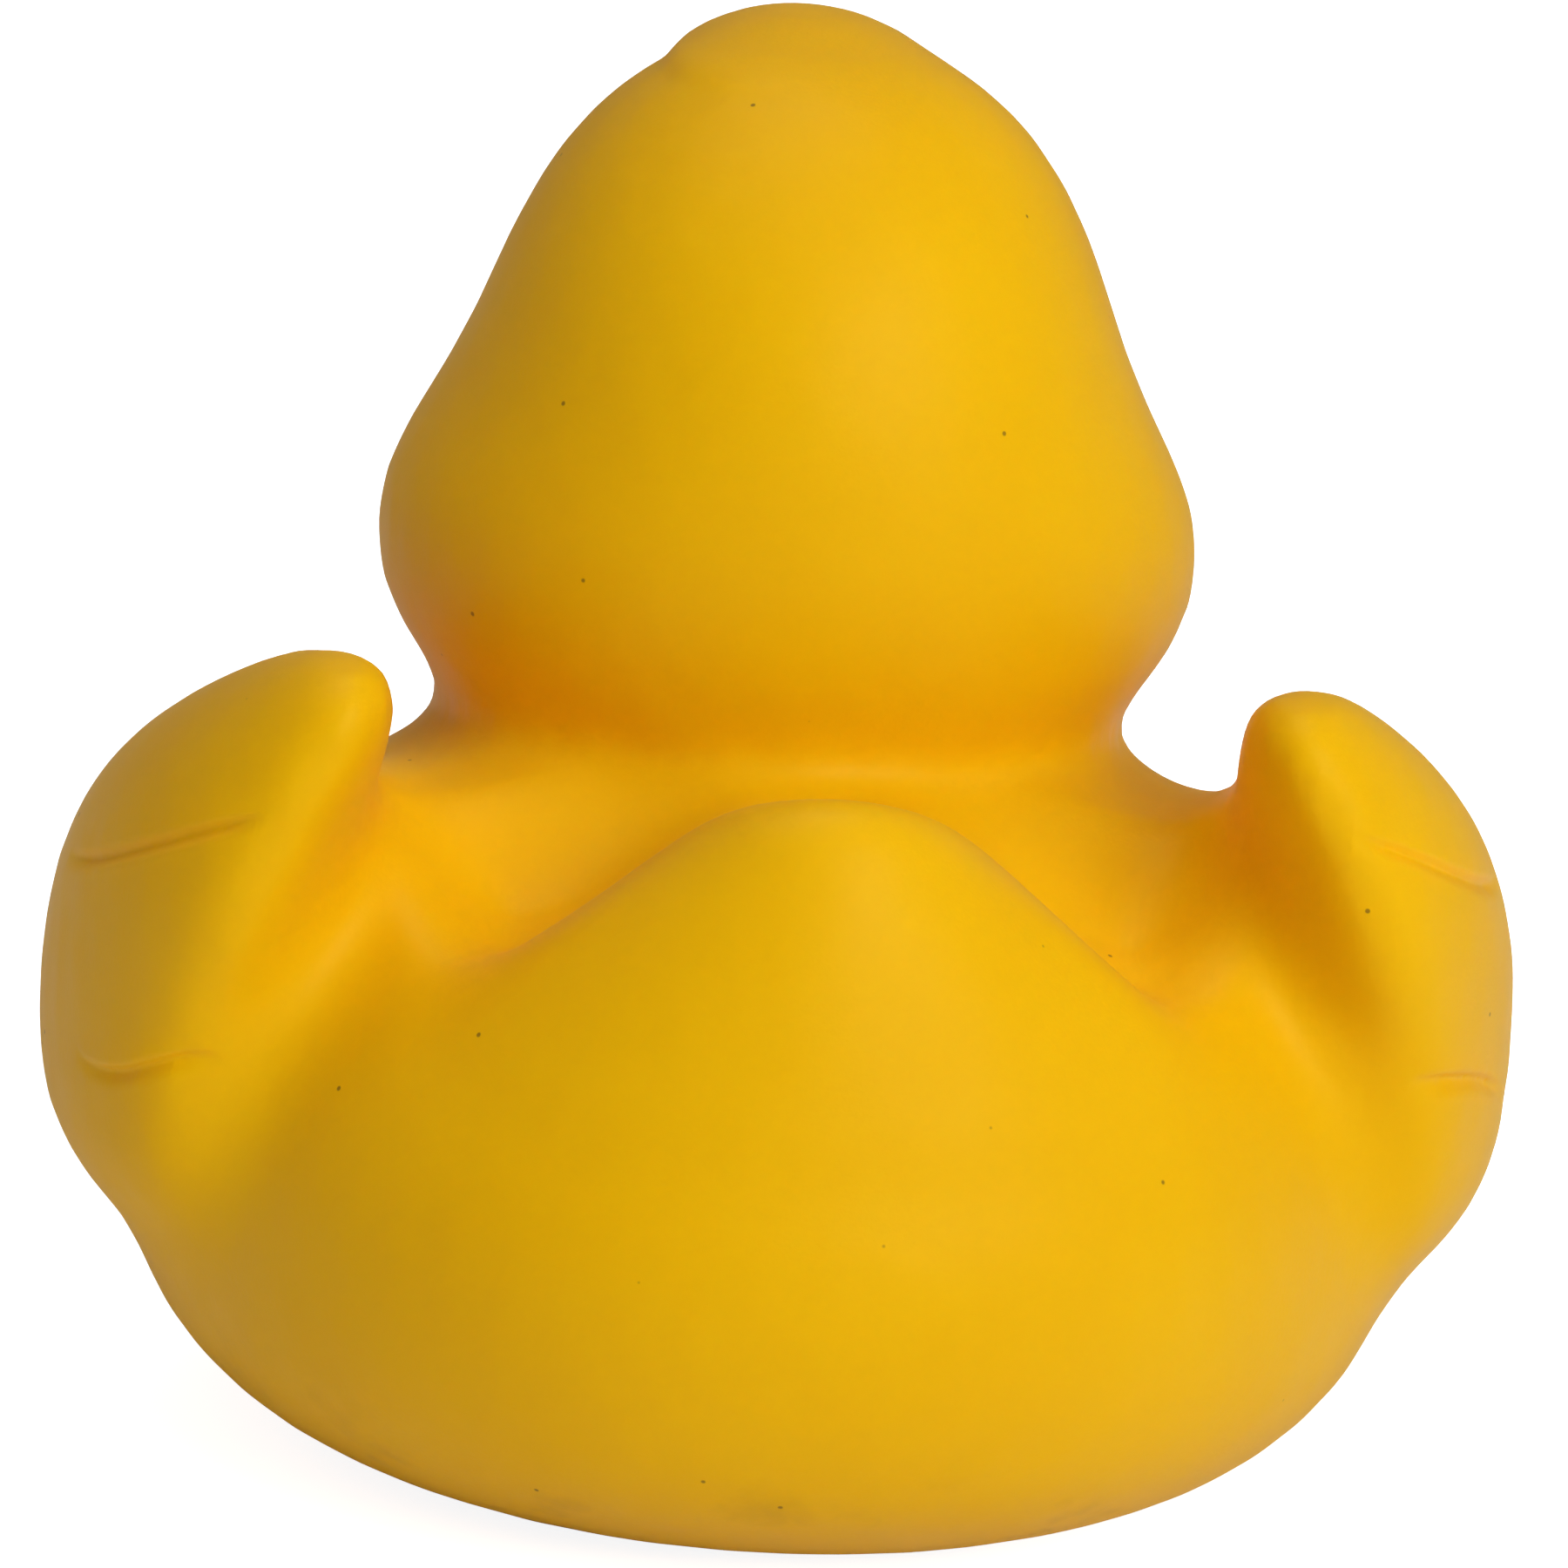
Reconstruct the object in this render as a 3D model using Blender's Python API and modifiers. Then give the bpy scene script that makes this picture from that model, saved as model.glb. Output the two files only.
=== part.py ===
# A bath duck, rotation moulded in one hollow piece of soft vinyl.
# The bill points along -Y and +Z is up. The duck is the same on both sides of X = 0,
# so one wing and one eye are modelled and the finished skin is mirrored.
import math

import bmesh
import bpy
import numpy as np
from mathutils import Matrix, Vector

# Driving sizes, in metres
HULL_WIDTH = 0.0730
HULL_FRONT = 0.0400
HULL_REAR = 0.0420
DECK_HEIGHT = 0.0404
HEAD_WIDTH = 0.0472
HEAD_FRONT = 0.0220
HEAD_REAR = 0.0220
HEAD_HEIGHT = 0.0430
HEAD_SINK = 0.0036
HEAD_FORWARD = 0.0090
TUFT_WIDTH = 0.0176
TUFT_RISE = 0.0011
TUFT_LENGTH = 0.0250
TUFT_DROP = 0.0150
TUFT_THICKNESS = 0.0140
WING_SPAN = 0.0836
WING_THICKNESS = 0.0200
WING_CHORD = 0.0430
WING_FOOT = 0.0125
WING_TIP_RISE = 0.0090
WING_TIP_INSET = 0.0137
WING_FOOT_TUCK = 0.0058
WING_TIP_BACK = 0.0195
WING_TOE_FOOT = -6.0
WING_TOE_TIP = 14.0
WING_EDGE_TAPER = 0.34
TAIL_WIDTH = 0.0650
TAIL_TIP_RISE = 0.0048
TAIL_TIP_BACK = 0.0305
TAIL_FOOT = 0.0240
BILL_WIDTH = 0.0220
BILL_LENGTH = 0.0140
BILL_RISE = 0.0150
UPPER_BILL_DEPTH = 0.0066
LOWER_BILL_DEPTH = 0.0056
LOWER_BILL_LENGTH = 0.0112
LOWER_BILL_WIDTH = 0.0196
BILL_LIFT = 0.0023
EYE_WIDTH = 0.0056
EYE_HEIGHT = 0.0080
EYE_SPACING = 0.0210
EYE_LEVEL = 0.0267
EYE_SETBACK = 0.0034
EYE_TURN = 24.0
EYE_RISE = 0.0007
EYE_DEPTH = 0.0060
CREASE_DEPTH = 0.0006
CREASE_WIDTH = 0.0013
CREASE_REAR = 0.0240
CREASE_LENGTH = 0.0220
CREASE_FADE = 0.0040
UPPER_CREASE_HEIGHT = 0.0298
UPPER_CREASE_FALL = 0.0094
UPPER_CREASE_INNER = 0.0285
LOWER_CREASE_HEIGHT = 0.0158
LOWER_CREASE_FALL = 0.0076
LOWER_CREASE_INNER = 0.0318
WALL = 0.0022
VENT_DIAMETER = 0.0030
VENT_CUT_LENGTH = 0.0132
BASE_CUT = 0.0003

# How the hollows between the forms are filled: the tight band at the neck ends at NECK_BAND
NECK_BAND = 0.0118
NECK_BLEND = 0.0080
NECK_FILLET = 0.3
TUFT_FILLET = 0.06
TUFT_BLEND = 0.0050
FILLET_PASSES = 70
CAVITY_PASSES = 4
HOLLOW_STEP = 0.6
CREST_STEP = 0.05

# Fineness of the surface
RING_SIDES = 16
VENT_SIDES = 24
SUBDIVISIONS = 2
VOXEL = 0.0010
CAVITY_VOXEL = 0.0015
SEAM_MERGE = 0.0002
PLANE_TOLERANCE = 0.000001
SKIN_TRIANGLES = 9000
CAVITY_TRIANGLES = 2600

# A section of the cavity thinner than this many walls is left solid
SOLID_BELOW = 1.5

DUCK_YELLOW = (0.80, 0.44, 0.004, 1.0)
VINYL_ROUGHNESS = 0.55
UPRIGHT = math.radians(90.0)

# Body sections: share of the deck height, of the half width, of the front and of the rear
HULL_SECTIONS = (
    (0.000, 0.42, 0.44, 0.42),
    (0.025, 0.68, 0.66, 0.64),
    (0.080, 0.82, 0.79, 0.77),
    (0.160, 0.918, 0.90, 0.89),
    (0.260, 0.99, 0.965, 0.955),
    (0.380, 1.00, 1.00, 1.00),
    (0.520, 0.985, 1.00, 1.00),
    (0.670, 0.92, 0.96, 0.95),
    (0.805, 0.81, 0.87, 0.84),
    (0.918, 0.68, 0.74, 0.69),
    (0.982, 0.49, 0.53, 0.50),
    (1.000, 0.22, 0.24, 0.24),
)

# Head sections, from the neck to the crown, as shares of the head's sizes
HEAD_SECTIONS = (
    (0.00, 0.66, 0.66, 0.72),
    (0.08, 0.78, 0.78, 0.82),
    (0.16, 0.905, 0.88, 0.91),
    (0.24, 0.99, 0.95, 0.97),
    (0.33, 1.01, 0.99, 1.00),
    (0.42, 0.965, 1.00, 1.00),
    (0.51, 0.862, 0.985, 0.985),
    (0.61, 0.778, 0.945, 0.95),
    (0.71, 0.715, 0.88, 0.86),
    (0.81, 0.628, 0.77, 0.74),
    (0.90, 0.502, 0.62, 0.57),
    (0.965, 0.33, 0.42, 0.38),
    (1.00, 0.14, 0.18, 0.16),
)

# Bill sections: share of the reach, of the width and of the thickness, and the upturn of the lip
BILL_SECTIONS = (
    (-0.60, 0.78, 1.10, -0.10),
    (-0.20, 0.90, 1.15, -0.05),
    (0.12, 0.98, 1.10, 0.00),
    (0.34, 1.00, 1.02, 0.02),
    (0.54, 0.96, 0.92, 0.06),
    (0.71, 0.86, 0.80, 0.13),
    (0.85, 0.70, 0.66, 0.21),
    (0.94, 0.50, 0.48, 0.28),
    (0.99, 0.30, 0.28, 0.33),
    (1.00, 0.12, 0.12, 0.35),
)

# Tuft sections: share of the length behind the head's axis, of the drop under the crest, of the
# width and of the thickness, and lean in degrees, from the crown forward to the brow
TUFT_SECTIONS = (
    (0.32, 1.00, 0.80, 1.00, 60.0),
    (0.20, 0.60, 0.98, 0.86, 62.0),
    (0.04, 0.40, 1.00, 0.80, 70.0),
    (-0.18, 0.35, 0.94, 0.74, 84.0),
    (-0.40, 0.37, 0.78, 0.66, 100.0),
    (-0.58, 0.48, 0.55, 0.51, 120.0),
    (-0.68, 0.64, 0.26, 0.26, 140.0),
)

# Eye sections: share of the depth behind the raised face and share of the oval
EYE_SECTIONS = ((1.0, 1.0), (0.5, 1.0), (0.2, 0.96), (0.05, 0.80), (0.0, 0.40))
EYE_BACKWARD_RISE = 0.25

# Wing: where the tip starts to lean, how its lean and the tuck of the foot grow, and the
# share of the height that is tucked in
WING_LEAN_START = 0.40
WING_LEAN_IN = 2.4
WING_LEAN_BACK = 1.1
WING_TUCK_SHARE = 0.25
WING_TUCK_CURVE = 2.0
TAPER_CURVE = 3.0

# Wing creases: height over the wing's foot at the rear end, fall over the crease's length, and
# distance of the inner end from the middle of the duck
WING_CREASES = (
    (UPPER_CREASE_HEIGHT, UPPER_CREASE_FALL, UPPER_CREASE_INNER),
    (LOWER_CREASE_HEIGHT, LOWER_CREASE_FALL, LOWER_CREASE_INNER),
)
CREASE_SAG = 0.145
CREASE_TAPER = 0.50

# Wing sections: share of the way from foot to tip, of the chord and of the thickness
WING_SECTIONS = (
    (0.00, 0.70, 0.60),
    (0.08, 0.86, 0.84),
    (0.18, 0.95, 0.96),
    (0.30, 1.00, 1.00),
    (0.44, 0.98, 1.00),
    (0.56, 0.90, 0.92),
    (0.67, 0.78, 0.78),
    (0.78, 0.62, 0.66),
    (0.88, 0.46, 0.52),
    (0.96, 0.30, 0.35),
    (1.00, 0.12, 0.16),
)

# Tail sections, from the rump to the tip: share of the height, of the width, of the way back
# of the centre, and of the way from the tip back to the rump
TAIL_SECTIONS = (
    (0.00, 1.00, 0.00, 0.90),
    (0.19, 0.96, 0.06, 0.80),
    (0.33, 0.85, 0.16, 0.70),
    (0.47, 0.71, 0.33, 0.62),
    (0.61, 0.545, 0.525, 0.51),
    (0.73, 0.395, 0.69, 0.41),
    (0.835, 0.27, 0.82, 0.30),
    (0.92, 0.19, 0.92, 0.21),
    (0.975, 0.12, 0.975, 0.13),
    (1.00, 0.045, 1.00, 0.05),
)
TAIL_FRONT_SHARE = 0.6


def clear_scene():
    for item in list(bpy.data.objects):
        bpy.data.objects.remove(item, do_unlink=True)


def add_ring(bm, centre, half_width, front, rear, tilt=0.0, toe=0.0, taper=0.0):
    # One section of a loft: an oval whose front and rear halves differ, the rear one drawn in
    made = bmesh.ops.create_circle(bm, cap_ends=False, segments=RING_SIDES, radius=1.0)
    turn = Matrix.Rotation(toe, 4, "Z") @ Matrix.Rotation(tilt, 4, "X")
    # A subdivided ring draws in, so the cage is made that much larger
    draw_in = (2.0 + math.cos(2.0 * math.pi / RING_SIDES)) / 3.0
    for vert in made["verts"]:
        reach = front if vert.co.y < 0.0 else rear
        narrow = 1.0 - taper * max(0.0, vert.co.y) ** TAPER_CURVE
        local = Vector((vert.co.x * half_width * narrow, vert.co.y * reach, 0.0)) / draw_in
        vert.co = turn @ local + Vector(centre)
    return list({edge for vert in made["verts"] for edge in vert.link_edges})


def loft(bm, rings):
    # Bridges the rings in order and closes both ends
    loops = [add_ring(bm, *ring) for ring in rings]
    for lower, upper in zip(loops, loops[1:]):
        bmesh.ops.bridge_loops(bm, edges=lower + upper)
    bmesh.ops.holes_fill(bm, edges=loops[0] + loops[-1], sides=RING_SIDES)


def hull_rings(inset=0.0):
    half = HULL_WIDTH / 2.0 - inset
    height = DECK_HEIGHT - 2.0 * inset
    return [
        ((0.0, 0.0, inset + z * height), w * half, f * (HULL_FRONT - inset), r * (HULL_REAR - inset))
        for z, w, f, r in HULL_SECTIONS
    ]


def head_rings(inset=0.0):
    half = HEAD_WIDTH / 2.0 - inset
    foot = DECK_HEIGHT - HEAD_SINK
    return [
        ((0.0, -HEAD_FORWARD, foot + z * (HEAD_HEIGHT - inset)), w * half,
         f * (HEAD_FRONT - inset), r * (HEAD_REAR - inset))
        for z, w, f, r in HEAD_SECTIONS
    ]


def tuft_rings():
    # A lock of moulded hair that lies on the crown and ends in a curl over the brow
    crest = DECK_HEIGHT - HEAD_SINK + HEAD_HEIGHT + TUFT_RISE
    rings = []
    for behind, below, width, thick, lean in TUFT_SECTIONS:
        centre = (0.0, behind * TUFT_LENGTH - HEAD_FORWARD, crest - below * TUFT_DROP)
        half_thick = thick * TUFT_THICKNESS / 2.0
        rings.append((centre, width * TUFT_WIDTH / 2.0, half_thick, half_thick, math.radians(lean)))
    return rings


def wing_rings(inset=0.0):
    # Stacked sections that lean in and back on the way up to the tip
    outer = WING_SPAN / 2.0
    height = DECK_HEIGHT + WING_TIP_RISE - WING_FOOT
    rings = []
    for share, chord, thick in WING_SECTIONS:
        half_thick = thick * WING_THICKNESS / 2.0
        half_chord = chord * WING_CHORD / 2.0
        lean = max(0.0, (share - WING_LEAN_START) / (1.0 - WING_LEAN_START))
        tuck = max(0.0, (WING_TUCK_SHARE - share) / WING_TUCK_SHARE)
        x = outer - half_thick - WING_TIP_INSET * lean ** WING_LEAN_IN
        x -= WING_FOOT_TUCK * tuck ** WING_TUCK_CURVE
        y = WING_TIP_BACK * lean ** WING_LEAN_BACK
        z = WING_FOOT + inset + share * (height - 2.0 * inset)
        toe = math.radians(WING_TOE_FOOT + (WING_TOE_TIP - WING_TOE_FOOT) * lean)
        if half_thick > SOLID_BELOW * inset:
            inner_chord = half_chord - inset
            rings.append(((x, y, z), half_thick - inset, inner_chord, inner_chord, 0.0, toe,
                          WING_EDGE_TAPER))
    return rings


def tail_rings(inset=0.0):
    # A broad upturned cone that grows out of the rump and leans back to its tip
    rings = []
    for rise, width, back, rump in TAIL_SECTIONS:
        half_width = width * TAIL_WIDTH / 2.0
        centre = back * TAIL_TIP_BACK
        rear = TAIL_TIP_BACK + rump * (HULL_REAR - TAIL_TIP_BACK) - centre
        front = min(rear, TAIL_FRONT_SHARE * half_width)
        z = TAIL_FOOT - inset + rise * (DECK_HEIGHT + TAIL_TIP_RISE - TAIL_FOOT)
        if rear > SOLID_BELOW * inset:
            rings.append(((0.0, centre, z), half_width - inset, front - inset, rear - inset))
    return rings


def bill_rings(offset, length, full_width, thickness):
    # One half of the bill, from inside the face out to its rounded lip
    root_y = -HEAD_FORWARD - HEAD_FRONT
    mouth = DECK_HEIGHT - HEAD_SINK + BILL_RISE
    rings = []
    for reach, width, thick, lift in BILL_SECTIONS:
        half_thick = thick * thickness / 2.0
        centre = (0.0, root_y - reach * length, mouth + offset + lift * abs(offset))
        rings.append((centre, width * full_width / 2.0, half_thick, half_thick, UPRIGHT))
    return rings


def eye_rings():
    # A raised oval on the face, in line with the surface there
    y = -HEAD_FORWARD - HEAD_FRONT + EYE_SETBACK - EYE_RISE
    z = DECK_HEIGHT - HEAD_SINK + EYE_LEVEL
    toe = math.radians(EYE_TURN)
    turn = Matrix.Rotation(toe, 3, "Z")
    rings = []
    for depth, share in EYE_SECTIONS:
        back = depth * EYE_DEPTH
        inward = turn @ Vector((0.0, back, EYE_BACKWARD_RISE * back))
        centre = Vector((EYE_SPACING / 2.0, y, z)) + inward
        half_height = share * EYE_HEIGHT / 2.0
        rings.append((centre, share * EYE_WIDTH / 2.0, half_height, half_height, UPRIGHT, toe))
    return rings


def skin_rings():
    return [
        hull_rings(),
        head_rings(),
        tuft_rings(),
        wing_rings(),
        tail_rings(),
        bill_rings(BILL_LIFT, BILL_LENGTH, BILL_WIDTH, UPPER_BILL_DEPTH),
        bill_rings(-BILL_LIFT, LOWER_BILL_LENGTH, LOWER_BILL_WIDTH, LOWER_BILL_DEPTH),
        eye_rings(),
    ]


def read_back(holder, name):
    # The object's mesh with its modifiers applied
    depsgraph = bpy.context.evaluated_depsgraph_get()
    mesh = bpy.data.meshes.new_from_object(holder.evaluated_get(depsgraph))
    mesh.name = name
    bpy.data.objects.remove(holder, do_unlink=True)
    return mesh


def fused(name, forms, voxel):
    # Subdivides the lofts and fuses them into one closed skin
    bm = bmesh.new()
    for rings in forms:
        loft(bm, rings)
    bmesh.ops.recalc_face_normals(bm, faces=bm.faces)
    mesh = bpy.data.meshes.new(name)
    bm.to_mesh(mesh)
    bm.free()
    holder = bpy.data.objects.new(name, mesh)
    bpy.context.scene.collection.objects.link(holder)
    smooth = holder.modifiers.new("soften", "SUBSURF")
    smooth.levels = SUBDIVISIONS
    smooth.render_levels = SUBDIVISIONS
    fuse = holder.modifiers.new("fuse", "REMESH")
    fuse.mode = "VOXEL"
    fuse.voxel_size = voxel
    return read_back(holder, name)


def neighbour_mean(points, edges):
    total = np.zeros_like(points)
    count = np.zeros(len(points))
    for one, other in ((edges[:, 0], edges[:, 1]), (edges[:, 1], edges[:, 0])):
        np.add.at(total, one, points[other])
        np.add.at(count, one, 1.0)
    return total / count[:, None]


def mesh_arrays(mesh):
    points = np.empty(len(mesh.vertices) * 3)
    mesh.vertices.foreach_get("co", points)
    edges = np.empty(len(mesh.edges) * 2, dtype=np.int64)
    mesh.edges.foreach_get("vertices", edges)
    return points.reshape(-1, 3), edges.reshape(-1, 2)


def vertex_normals(mesh):
    normals = np.empty(len(mesh.vertices) * 3)
    mesh.vertex_normals.foreach_get("vector", normals)
    return normals.reshape(-1, 3)


def set_points(mesh, points):
    mesh.vertices.foreach_set("co", points.ravel())
    mesh.update()


def fill_hollows(mesh, passes):
    # Draws the skin out over sharp hollows, which leaves moulded fillets and keeps the crests.
    # The hollows beside the wings are wide, the one round the neck is tight, and the roots of
    # the tuft stay sharp.
    points, edges = mesh_arrays(mesh)
    beside_wings = np.clip((np.abs(points[:, 0]) - NECK_BAND) / NECK_BLEND, 0.0, 1.0)
    brow = DECK_HEIGHT - HEAD_SINK + HEAD_HEIGHT - TUFT_WIDTH / 2.0
    on_crown = np.clip((points[:, 2] - brow) / TUFT_BLEND, 0.0, 1.0)
    reach = NECK_FILLET + (1.0 - NECK_FILLET) * beside_wings
    reach += (TUFT_FILLET - reach) * on_crown
    for _ in range(passes):
        shift = neighbour_mean(points, edges) - points
        outward = np.sum(shift * vertex_normals(mesh), axis=1)
        share = np.where(outward > 0.0, HOLLOW_STEP * reach, CREST_STEP)
        points = points + shift * share[:, None]
        set_points(mesh, points)


def press_creases(mesh):
    # Two feather creases round each wing, from its rear edge down along the outer face
    points, _ = mesh_arrays(mesh)
    normals = vertex_normals(mesh)
    x, y, z = points.T
    run = (CREASE_REAR - y) / CREASE_LENGTH
    fades_out = np.clip((1.0 - run) / CREASE_TAPER, 0.0, 1.0)
    for rear_height, fall, inner_end in WING_CREASES:
        fades_in = np.clip((np.abs(x) - inner_end) / CREASE_FADE, 0.0, 1.0)
        line = WING_FOOT + rear_height - fall * run * (1.0 + CREASE_SAG * (1.0 - run))
        across = np.exp(-((z - line) / CREASE_WIDTH) ** 2)
        depth = CREASE_DEPTH * across * fades_in * fades_out
        points = points - normals * depth[:, None]
    set_points(mesh, points)


def mirrored_and_thinned(name, mesh, triangles):
    bm = bmesh.new()
    bm.from_mesh(mesh)
    whole = list(bm.verts) + list(bm.edges) + list(bm.faces)
    bmesh.ops.symmetrize(bm, input=whole, direction="X", dist=SEAM_MERGE)
    bmesh.ops.triangulate(bm, faces=bm.faces)
    bm.to_mesh(mesh)
    bm.free()
    holder = bpy.data.objects.new(name, mesh)
    bpy.context.scene.collection.objects.link(holder)
    thin = holder.modifiers.new("thin out", "DECIMATE")
    thin.ratio = triangles / len(mesh.polygons)
    return read_back(holder, name)


def flat_base(mesh):
    # Cuts the bottom level and closes it with the flat face that the duck stands on
    bm = bmesh.new()
    bm.from_mesh(mesh)
    whole = list(bm.verts) + list(bm.edges) + list(bm.faces)
    cut = bmesh.ops.bisect_plane(bm, geom=whole, dist=PLANE_TOLERANCE, plane_co=(0.0, 0.0, BASE_CUT),
                                 plane_no=(0.0, 0.0, 1.0), clear_inner=True)
    rim = [item for item in cut["geom_cut"] if isinstance(item, bmesh.types.BMEdge)]
    bmesh.ops.contextual_create(bm, geom=rim)
    bmesh.ops.recalc_face_normals(bm, faces=bm.faces)
    bm.to_mesh(mesh)
    bm.free()


def set_on_origin(meshes, guide):
    # The base lies on Z = 0 and the box is centred on X and Y
    points, _ = mesh_arrays(guide)
    low = points.min(axis=0)
    high = points.max(axis=0)
    shift = Matrix.Translation((0.0, -(low[1] + high[1]) / 2.0, -low[2]))
    for mesh in meshes:
        mesh.transform(shift)


def make_cutter(name, mesh, collection):
    cutter = bpy.data.objects.new(name, mesh)
    cutter.hide_render = True
    cutter.display_type = "WIRE"
    collection.objects.link(cutter)
    return cutter


def vent_mesh():
    bm = bmesh.new()
    bmesh.ops.create_cone(bm, cap_ends=True, segments=VENT_SIDES, radius1=VENT_DIAMETER / 2.0,
                          radius2=VENT_DIAMETER / 2.0, depth=VENT_CUT_LENGTH)
    mesh = bpy.data.meshes.new("vent_hole")
    bm.to_mesh(mesh)
    bm.free()
    return mesh


def vinyl():
    material = bpy.data.materials.new("yellow_vinyl")
    material.use_nodes = True
    shader = material.node_tree.nodes["Principled BSDF"]
    shader.inputs["Base Color"].default_value = DUCK_YELLOW
    shader.inputs["Roughness"].default_value = VINYL_ROUGHNESS
    shader.inputs["Metallic"].default_value = 0.0
    return material


def make_duck():
    parts = bpy.data.collections.new("bath_duck")
    cutters = bpy.data.collections.new("cutters")
    bpy.context.scene.collection.children.link(parts)
    bpy.context.scene.collection.children.link(cutters)

    skin = fused("duck", skin_rings(), VOXEL)
    fill_hollows(skin, FILLET_PASSES)
    press_creases(skin)
    skin = mirrored_and_thinned("duck", skin, SKIN_TRIANGLES)
    flat_base(skin)

    hollow = [hull_rings(WALL), head_rings(WALL), wing_rings(WALL), tail_rings(WALL)]
    cavity = fused("cavity", hollow, CAVITY_VOXEL)
    fill_hollows(cavity, CAVITY_PASSES)
    cavity = mirrored_and_thinned("cavity", cavity, CAVITY_TRIANGLES)
    set_on_origin((cavity, skin), skin)

    duck = bpy.data.objects.new("duck", skin)
    parts.objects.link(duck)
    duck.data.materials.append(vinyl())
    for name, mesh in (("cavity", cavity), ("vent_hole", vent_mesh())):
        cut = duck.modifiers.new(name, "BOOLEAN")
        cut.operation = "DIFFERENCE"
        cut.solver = "EXACT"
        cut.object = make_cutter(name, mesh, cutters)
    duck.data.shade_smooth()


clear_scene()
make_duck()
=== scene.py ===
import math

import bmesh
import bpy
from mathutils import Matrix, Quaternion, Vector


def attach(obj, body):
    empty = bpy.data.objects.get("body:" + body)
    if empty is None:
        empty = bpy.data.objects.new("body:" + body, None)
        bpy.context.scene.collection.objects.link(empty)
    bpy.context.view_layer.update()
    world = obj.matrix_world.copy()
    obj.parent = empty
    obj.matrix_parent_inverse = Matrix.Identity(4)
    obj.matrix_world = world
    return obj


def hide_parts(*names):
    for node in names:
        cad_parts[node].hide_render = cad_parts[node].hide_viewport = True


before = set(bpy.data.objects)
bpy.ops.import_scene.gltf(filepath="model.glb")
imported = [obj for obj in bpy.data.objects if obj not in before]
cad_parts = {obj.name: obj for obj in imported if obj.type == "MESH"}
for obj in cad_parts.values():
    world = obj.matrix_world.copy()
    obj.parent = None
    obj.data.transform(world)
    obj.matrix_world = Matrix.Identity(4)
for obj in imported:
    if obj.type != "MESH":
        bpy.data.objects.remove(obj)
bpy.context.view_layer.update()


# Camera, floor and light

shot = {
    "azimuth": 174.5,     # degrees round the duck, 0 is in front of the bill
    "elevation": 14.0,
    "roll": 3.7,          # the duck leans this far to the right in the picture
    "distance": 0.55,
    "pivot": (0.0, 0.0, 0.042),
    "aimBelow": 0.0044,   # the middle of the frame lies this far under the pivot
    "frameWidth": 0.0891,
    "sensor": 36.0,
    "nearest": 0.01,
    "farthest": 20.0,
}


def pictureAxes():
    turn, lift = math.radians(shot["azimuth"]), math.radians(shot["elevation"])
    away = Vector((math.sin(turn) * math.cos(lift), -math.cos(turn) * math.cos(lift), math.sin(lift)))
    right = Vector((0.0, 0.0, 1.0)).cross(away).normalized()
    return away, right, away.cross(right)


def makeCamera():
    away, right, up = pictureAxes()
    pivot = Vector(shot["pivot"])
    camera = bpy.data.objects.new("camera", bpy.data.cameras.new("camera"))
    camera.data.sensor_width = shot["sensor"]
    camera.data.lens = shot["sensor"] * shot["distance"] / shot["frameWidth"]
    camera.data.clip_start = shot["nearest"]
    camera.data.clip_end = shot["farthest"]
    camera.location = pivot + away * shot["distance"]
    back = (camera.location - (pivot - up * shot["aimBelow"])).normalized()
    lean = Quaternion((0.0, 0.0, 1.0), math.radians(shot["roll"]))
    camera.rotation_mode = "QUATERNION"
    camera.rotation_quaternion = back.to_track_quat("Z", "Y") @ lean
    bpy.context.scene.collection.objects.link(camera)
    bpy.context.scene.camera = camera
    print("camera placed")


studio = {
    "floorHalf": 4.0,
    "floorColour": (0.91, 0.93, 0.95, 1.0),
    "floorShade": 0.985,      # the darker patches of the paper, as a share of its colour
    "floorMottle": 5.0,
    "floorRoughness": 0.9,
    "floorGloss": 0.1,
    "floorGlow": 0.95,        # keeps the paper white in the picture without lighting the duck
    "skyColour": (1.0, 0.86, 0.82, 1.0),
    "skyStrength": 0.22,
    "lamps": (
        # towards the camera, to the right, up, distance, size, watts, colour
        (0.686, 0.498, 0.530, 0.90, 0.55, 5.55, (0.96, 1.0, 0.92)),
        (-0.10, -0.12, 1.00, 1.20, 0.90, 4.40, (1.0, 1.0, 0.98)),
    ),
}


def makePaper():
    material = bpy.data.materials.new("palePaper")
    material.use_nodes = True
    nodes, links = material.node_tree.nodes, material.node_tree.links
    shader = nodes["Principled BSDF"]
    shader.inputs["Roughness"].default_value = studio["floorRoughness"]
    shader.inputs["Specular IOR Level"].default_value = studio["floorGloss"]
    where = nodes.new("ShaderNodeTexCoord")
    mottle = nodes.new("ShaderNodeTexNoise")
    mottle.inputs["Scale"].default_value = studio["floorMottle"]
    tone = nodes.new("ShaderNodeMix")
    tone.data_type = "RGBA"
    tone.inputs["A"].default_value = studio["floorColour"]
    tone.inputs["B"].default_value = [studio["floorShade"] * c for c in studio["floorColour"][:3]] + [1.0]
    links.new(where.outputs["Object"], mottle.inputs["Vector"])
    links.new(mottle.outputs["Fac"], tone.inputs["Factor"])
    links.new(tone.outputs["Result"], shader.inputs["Base Color"])
    links.new(tone.outputs["Result"], shader.inputs["Emission Color"])
    # The glow is only for the camera, so that it doesn't light the duck
    seen = nodes.new("ShaderNodeMath")
    seen.operation = "MULTIPLY"
    seen.inputs[1].default_value = studio["floorGlow"]
    links.new(nodes.new("ShaderNodeLightPath").outputs["Is Camera Ray"], seen.inputs[0])
    links.new(seen.outputs["Value"], shader.inputs["Emission Strength"])
    return material


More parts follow.
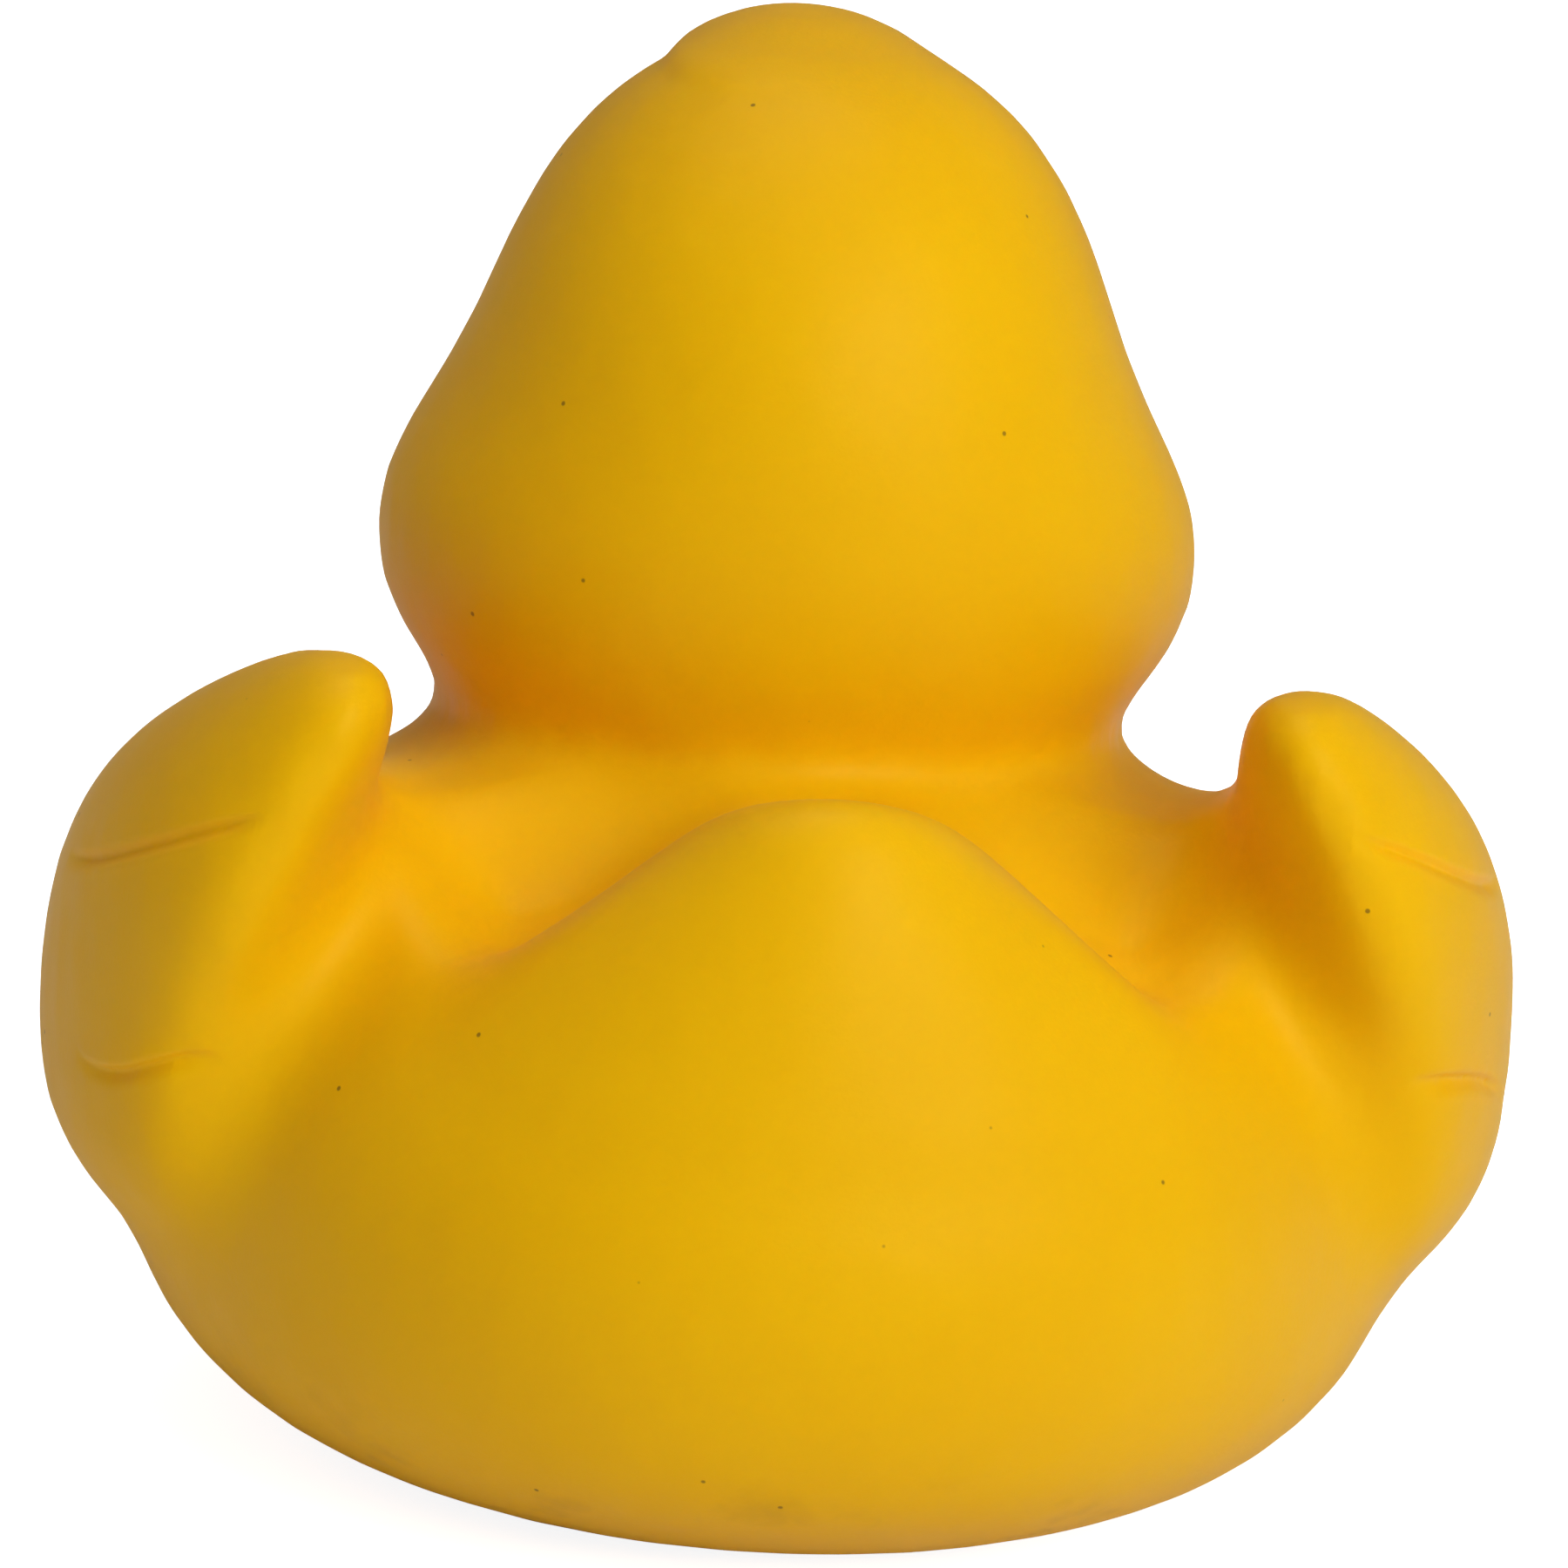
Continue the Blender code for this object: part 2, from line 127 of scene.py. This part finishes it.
def makeFloor():
    bm = bmesh.new()
    bmesh.ops.create_grid(bm, x_segments=2, y_segments=2, size=studio["floorHalf"])
    floor = meshObject(bm, "floor")
    floor.data.materials.append(makePaper())
    print("floor laid")


def makeLight():
    world = bpy.data.worlds.new("softRoom")
    world.use_nodes = True
    sky = world.node_tree.nodes["Background"]
    sky.inputs["Color"].default_value = studio["skyColour"]
    sky.inputs["Strength"].default_value = studio["skyStrength"]
    bpy.context.scene.world = world
    away, right, _ = pictureAxes()
    ahead = Vector((away.x, away.y, 0.0)).normalized()
    for index, (near, side, rise, reach, size, watts, colour) in enumerate(studio["lamps"]):
        lamp = bpy.data.lights.new("softLamp%d" % index, "AREA")
        lamp.size = size
        lamp.energy = watts
        lamp.color = colour
        holder = bpy.data.objects.new("softLamp%d" % index, lamp)
        direction = (ahead * near + right * side + Vector((0.0, 0.0, rise))).normalized()
        holder.location = Vector(shot["pivot"]) + direction * reach
        holder.rotation_euler = direction.to_track_quat("Z", "Y").to_euler()
        bpy.context.scene.collection.objects.link(holder)
    print("light set")


# The duck's skin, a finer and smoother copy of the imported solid

skin = {
    "voxel": 0.00062,
    "smoothPasses": 13,
    "relax": 0.5,
    "unshrink": -0.52,
    "weld": 0.000001,
    "cavityEdge": 0.0018,    # longest edge left in the cavity where it is reshaped
    "cavitySplits": 3,
    "ventHalf": 0.0015,
    "ventCutLength": 0.010,
    "ventSides": 48,
    "ventReach": 0.0018,      # faces nearer the vent's axis than this are its wall
    "refineReach": 0.0011,    # faces nearer a crease than this are split
    "refineSplits": 2,
    # the hollows beside the tail are deeper than in the solid: how much, and for each side
    # of the place where the deepening starts and where it is full
    "hollows": {
        "drop": 0.0049, "middle": -0.0009, "inner": (0.0035, 0.0150), "outer": (0.0240, 0.0165),
        "front": (0.0080, 0.0165), "rear": (0.0310, 0.0190),
        "low": (0.0240, 0.0310), "high": (0.0460, 0.0410),
    },
    # the tuft is a little wider over its root than in the solid, and lies to the picture's left
    "tuft": {"root": (0.0768, 0.0782), "wider": 0.06, "aside": 0.0004},
    # the solid's broad creases are filled first: out by this depth, over this half width
    "groove": {"depth": -0.00048, "above": 0.0014, "below": 0.0014, "fadeIn": 0.0040, "fadeOut": 0.0110},
    # then thin ones are pressed in, with a sharp upper lip and a soft lower side
    "crease": {"depth": 0.00045, "above": 0.00030, "below": 0.00060, "fadeIn": 0.0022, "fadeOut": 0.0040},
    # side (0 is both), height and place of the rear end, distance of the inner end from the
    # middle, how steeply the line falls forward, how much that eases, and its length
    "grooves": (
        (0, 0.0420, 0.0255, 0.0285, 0.4875, 2.8, 0.0220),
        (0, 0.0280, 0.0255, 0.0318, 0.3965, 2.3, 0.0220),
    ),
    "creases": (
        (1, 0.0410, 0.0255, 0.0305, 0.65, 14.0, 0.0168),
        (1, 0.0272, 0.0236, 0.0320, 0.90, 66.0, 0.0088),
        (-1, 0.0421, 0.0255, 0.0288, 0.68, 21.0, 0.0140),
        (-1, 0.0280, 0.0236, 0.0334, 0.12, -20.0, 0.0110),
    ),
}


def meshObject(bm, name):
    mesh = bpy.data.meshes.new(name)
    bm.to_mesh(mesh)
    bm.free()
    made = bpy.data.objects.new(name, mesh)
    bpy.context.scene.collection.objects.link(made)
    return made


def applyModifiers(piece):
    # Bakes the piece's modifiers into its own mesh
    shown = bpy.context.evaluated_depsgraph_get()
    baked = bpy.data.meshes.new_from_object(piece.evaluated_get(shown))
    piece.modifiers.clear()
    piece.data = baked


def islands(bm):
    # Groups of joined faces
    left = set(bm.faces)
    groups = []
    while left:
        rim = [left.pop()]
        group = list(rim)
        while rim:
            face = rim.pop()
            for edge in face.edges:
                for other in edge.link_faces:
                    if other in left:
                        left.remove(other)
                        rim.append(other)
                        group.append(other)
        groups.append(group)
    return groups


def closedShell(node, name, outer):
    # The outside of the hollow solid, or its cavity, without the vent that joins them
    bm = bmesh.new()
    bm.from_mesh(node.data)
    bmesh.ops.remove_doubles(bm, verts=bm.verts, dist=skin["weld"])
    tube = [face for face in bm.faces
            if face.calc_center_median().xy.length < skin["ventReach"] and abs(face.normal.z) < 0.5]
    bmesh.ops.delete(bm, geom=tube, context="FACES")
    groups = sorted(islands(bm), key=lambda group: min(v.co.z for f in group for v in f.verts))
    unwanted = groups[1:] if outer else groups[:1]
    bmesh.ops.delete(bm, geom=[f for group in unwanted for f in group], context="FACES")
    bmesh.ops.holes_fill(bm, edges=[e for e in bm.edges if e.is_boundary], sides=0)
    bmesh.ops.recalc_face_normals(bm, faces=bm.faces)
    return meshObject(bm, name)


def ramp(value, ends):
    # 0 at the first end, 1 at the second, and smooth between them
    share = min(1.0, max(0.0, (value - ends[0]) / (ends[1] - ends[0])))
    return share * share * (3.0 - 2.0 * share)


def hollowShare(point):
    hollows = skin["hollows"]
    sideways = abs(point.x - hollows["middle"])
    across = ramp(sideways, hollows["inner"]) * ramp(sideways, hollows["outer"])
    along = ramp(point.y, hollows["front"]) * ramp(point.y, hollows["rear"])
    return across * along * ramp(point.z, hollows["low"]) * ramp(point.z, hollows["high"])


def carveHollows(bm):
    for vert in bm.verts:
        vert.co.z -= hollowShare(vert.co) * skin["hollows"]["drop"]


def carveCavity(piece):
    # The cavity follows the deeper hollows, so that the wall over it keeps its thickness
    bm = bmesh.new()
    bm.from_mesh(piece.data)
    for _ in range(skin["cavitySplits"]):
        coarse = [edge for edge in bm.edges if edge.calc_length() > skin["cavityEdge"]
                  and max(hollowShare(vert.co) for vert in edge.verts) > 0.0]
        bmesh.ops.subdivide_edges(bm, edges=coarse, cuts=1)
        bmesh.ops.triangulate(bm, faces=[face for face in bm.faces if len(face.verts) > 3])
    carveHollows(bm)
    bm.to_mesh(piece.data)
    bm.free()


def shapeTuft(bm):
    tuft = skin["tuft"]
    for vert in bm.verts:
        share = ramp(vert.co.z, tuft["root"])
        vert.co.x += share * (tuft["wider"] * vert.co.x + tuft["aside"])


def creasePlace(point, line):
    # How far a point lies above the line, outside its inner end, and short of its front end
    side, height, rear, inner, fall, ease, length = line
    forward = rear - point.y
    above = point.z - (height - fall * forward + ease * forward ** 2)
    outward = (point.x * side if side else abs(point.x)) - inner
    return above, outward, length - forward


def refineCrease(bm, line):
    # Splits the faces beside a crease, so that its sharp lip has points to stand on
    for _ in range(skin["refineSplits"]):
        near = set()
        for vert in bm.verts:
            above, outward, ahead = creasePlace(vert.co, line)
            if abs(above) < skin["refineReach"] and outward > 0.0 and ahead > 0.0:
                near.update(vert.link_edges)
        bmesh.ops.subdivide_edges(bm, edges=[e for e in bm.edges if e in near], cuts=1, use_grid_fill=True)
        bmesh.ops.triangulate(bm, faces=[face for face in bm.faces if len(face.verts) > 4])


def press(bm, line, shape):
    bm.normal_update()
    for vert in bm.verts:
        above, outward, ahead = creasePlace(vert.co, line)
        if outward > 0.0 and ahead > 0.0:
            across = math.exp(-(above / (shape["above"] if above > 0.0 else shape["below"])) ** 2)
            ends = min(1.0, outward / shape["fadeIn"]) * min(1.0, ahead / shape["fadeOut"])
            vert.co -= vert.normal * across * ends * shape["depth"]


def smoothSkin(bm):
    # Each pass relaxes the skin and then pushes it back out, so that it doesn't shrink
    for _ in range(skin["smoothPasses"]):
        for share in (skin["relax"], skin["unshrink"]):
            bmesh.ops.smooth_vert(bm, verts=bm.verts, factor=share,
                                  use_axis_x=True, use_axis_y=True, use_axis_z=True)


def makeVentCutter():
    bm = bmesh.new()
    bmesh.ops.create_cone(bm, cap_ends=True, segments=skin["ventSides"], radius1=skin["ventHalf"],
                          radius2=skin["ventHalf"], depth=skin["ventCutLength"])
    return meshObject(bm, "vent")


def makeDuck():
    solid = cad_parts["duck"]
    duck = closedShell(solid, "duckSkin", True)
    cavity = closedShell(solid, "cavity", False)
    carveCavity(cavity)
    grid = duck.modifiers.new("grid", "REMESH")
    grid.mode = "VOXEL"
    grid.voxel_size = skin["voxel"]
    applyModifiers(duck)
    print("duck: skin remeshed,", len(duck.data.polygons), "faces")

    bm = bmesh.new()
    bm.from_mesh(duck.data)
    for line in skin["grooves"]:
        press(bm, line, skin["groove"])
    smoothSkin(bm)
    carveHollows(bm)
    shapeTuft(bm)
    for line in skin["creases"]:
        refineCrease(bm, line)
        press(bm, line, skin["crease"])
    for vert in bm.verts:
        vert.co.z = max(vert.co.z, 0.0)
    bm.to_mesh(duck.data)
    bm.free()
    print("duck: skin smoothed and creased,", len(duck.data.polygons), "faces")

    vent = makeVentCutter()
    for cutter in (cavity, vent):
        cut = duck.modifiers.new(cutter.name, "BOOLEAN")
        cut.operation = "DIFFERENCE"
        cut.solver = "EXACT"
        cut.object = cutter
    applyModifiers(duck)
    for cutter in (cavity, vent):
        bpy.data.objects.remove(cutter)
    duck.data.shade_smooth()
    duck.data.materials.clear()
    duck.data.materials.append(makeVinyl())
    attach(duck, "root")
    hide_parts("duck")
    print("duck: hollowed and vented,", len(duck.data.polygons), "faces")


# The vinyl and its paint

vinyl = {
    "yellow": (0.86, 0.470, 0.0012, 1.0),
    "deepYellow": (0.83, 0.440, 0.0010, 1.0),
    "orange": (0.62, 0.085, 0.004, 1.0),
    "eyeWhite": (0.75, 0.73, 0.68, 1.0),
    "eyeBlack": (0.010, 0.009, 0.008, 1.0),
    "speck": (0.10, 0.045, 0.010, 1.0),
    # the darker colour the hull takes in patches towards its bottom
    "bottomDark": (0.30, 0.14, 0.012, 1.0),
    # noises: scale, detail, and the values between which each one rises from 0 to 1
    "depthNoise": (45.0, 3.0, 0.35, 0.65),
    "bottomDarkNoise": (120.0, 4.0, 0.56, 0.70),
    "satinNoise": (160.0, 2.0, 0.3, 0.7),
    "specks": {"scale": 700.0, "rim": (0.12, 0.07), "share": 0.03, "strength": 0.7},
    # the hull darkens in patches from top down to full, where the darkening is strongest
    "bottomDarkening": {"top": 0.012, "full": 0.004, "strength": 0.35},
    "roughness": 0.46,
    "roughnessSpread": 0.04,
    "eyeShine": 0.25,          # how much smoother the painted eyes are
    "glow": 0.45,              # how much light the soft vinyl lets in, and how far, by colour
    "glowReach": (0.0040, 0.0016, 0.0002),
    "gloss": 0.20,
    "glossTint": (1.0, 0.72, 0.28, 1.0),
    "sheen": 0.04,
    "sheenRoughness": 0.4,
    "sheenTint": (1.0, 0.80, 0.72, 1.0),
    "grain": {"scale": 3500.0, "detail": 2.0, "strength": 0.25, "height": 0.00005},
    "paintRim": (1.02, 0.98),
    # the middle from the duck's middle and up, the half sizes, and the plane in front of
    # which the paint lies
    "bill": {"middle": (0.0, 0.0515), "half": (0.0122, 0.0067), "before": -0.0240},
    "eye": {"middle": (0.0105, 0.0632), "half": (0.0029, 0.0041), "before": -0.0150},
    "pupil": {"middle": (0.0103, 0.0628), "half": (0.0020, 0.0030), "before": -0.0150},
}


def makeVinyl():
    material = bpy.data.materials.new("yellowVinyl")
    material.use_nodes = True
    nodes, links = material.node_tree.nodes, material.node_tree.links
    shader = nodes["Principled BSDF"]
    where = nodes.new("ShaderNodeTexCoord").outputs["Object"]

    def feed(socket, value):
        if isinstance(value, bpy.types.NodeSocket):
            links.new(value, socket)
        else:
            socket.default_value = value

    def noise(scale, detail):
        made = nodes.new("ShaderNodeTexNoise")
        made.inputs["Scale"].default_value = scale
        made.inputs["Detail"].default_value = detail
        links.new(where, made.inputs["Vector"])
        return made.outputs["Fac"]

    def blend(mask, under, over):
        made = nodes.new("ShaderNodeMix")
        made.data_type = "RGBA"
        feed(made.inputs["Factor"], mask)
        feed(made.inputs["A"], under)
        feed(made.inputs["B"], over)
        return made.outputs["Result"]

    def spread(value, low, high, lowOut=0.0, highOut=1.0):
        made = nodes.new("ShaderNodeMapRange")
        ends = {"From Min": low, "From Max": high, "To Min": lowOut, "To Max": highOut}
        for socket, number in ends.items():
            made.inputs[socket].default_value = number
        links.new(value, made.inputs["Value"])
        return made.outputs["Result"]

    def work(operation, one, other):
        made = nodes.new("ShaderNodeMath")
        made.operation = operation
        feed(made.inputs[0], one)
        feed(made.inputs[1], other)
        return made.outputs["Value"]

    def axes(vector):
        made = nodes.new("ShaderNodeSeparateXYZ")
        links.new(vector, made.inputs["Vector"])
        return made.outputs

    mirrored = nodes.new("ShaderNodeVectorMath")
    mirrored.operation = "ABSOLUTE"
    links.new(where, mirrored.inputs[0])
    fromMiddle = axes(mirrored.outputs["Vector"])["X"]
    place = axes(where)

    def painted(patch):
        # 1 inside an oval on the face, the same on both sides of the duck
        across = work("DIVIDE", work("SUBTRACT", fromMiddle, patch["middle"][0]), patch["half"][0])
        upward = work("DIVIDE", work("SUBTRACT", place["Z"], patch["middle"][1]), patch["half"][1])
        reach = work("ADD", work("MULTIPLY", across, across), work("MULTIPLY", upward, upward))
        inside = spread(reach, *vinyl["paintRim"])
        return work("MULTIPLY", inside, work("LESS_THAN", place["Y"], patch["before"]))

    def speckMask(specks):
        # A small dot in the middle of a few cells
        cells = nodes.new("ShaderNodeTexVoronoi")
        cells.inputs["Scale"].default_value = specks["scale"]
        links.new(where, cells.inputs["Vector"])
        chosen = nodes.new("ShaderNodeSeparateColor")
        links.new(cells.outputs["Color"], chosen.inputs["Color"])
        dots = spread(cells.outputs["Distance"], *specks["rim"])
        kept = work("LESS_THAN", chosen.outputs["Red"], specks["share"])
        return work("MULTIPLY", work("MULTIPLY", dots, kept), specks["strength"])

    def bottomDarkMask(bottomDarkening):
        # Darker in patches towards the bottom of the hull
        scale, detail, low, high = vinyl["bottomDarkNoise"]
        darkened = work("MULTIPLY", spread(noise(scale, detail), low, high),
                       spread(place["Z"], bottomDarkening["top"], bottomDarkening["full"]))
        return work("MULTIPLY", darkened, bottomDarkening["strength"])

    scale, detail, low, high = vinyl["depthNoise"]
    colour = blend(spread(noise(scale, detail), low, high), vinyl["yellow"], vinyl["deepYellow"])
    colour = blend(speckMask(vinyl["specks"]), colour, vinyl["speck"])
    colour = blend(bottomDarkMask(vinyl["bottomDarkening"]), colour, vinyl["bottomDark"])
    colour = blend(painted(vinyl["bill"]), colour, vinyl["orange"])
    eye = painted(vinyl["eye"])
    colour = blend(eye, colour, vinyl["eyeWhite"])
    colour = blend(painted(vinyl["pupil"]), colour, vinyl["eyeBlack"])
    links.new(colour, shader.inputs["Base Color"])

    scale, detail, low, high = vinyl["satinNoise"]
    satin = spread(noise(scale, detail), low, high, vinyl["roughness"] - vinyl["roughnessSpread"],
                   vinyl["roughness"] + vinyl["roughnessSpread"])
    links.new(work("SUBTRACT", satin, work("MULTIPLY", eye, vinyl["eyeShine"])), shader.inputs["Roughness"])

    shader.inputs["Specular IOR Level"].default_value = vinyl["gloss"]
    shader.inputs["Specular Tint"].default_value = vinyl["glossTint"]
    shader.subsurface_method = "BURLEY"
    shader.inputs["Subsurface Weight"].default_value = vinyl["glow"]
    shader.inputs["Subsurface Radius"].default_value = vinyl["glowReach"]
    shader.inputs["Subsurface Scale"].default_value = 1.0
    shader.inputs["Sheen Weight"].default_value = vinyl["sheen"]
    shader.inputs["Sheen Roughness"].default_value = vinyl["sheenRoughness"]
    shader.inputs["Sheen Tint"].default_value = vinyl["sheenTint"]

    grain = vinyl["grain"]
    bump = nodes.new("ShaderNodeBump")
    bump.inputs["Strength"].default_value = grain["strength"]
    bump.inputs["Distance"].default_value = grain["height"]
    links.new(noise(grain["scale"], grain["detail"]), bump.inputs["Height"])
    links.new(bump.outputs["Normal"], shader.inputs["Normal"])
    print("vinyl mixed")
    return material


bpy.context.scene.view_settings.view_transform = "Standard"
makeCamera()
makeFloor()
makeLight()
makeDuck()
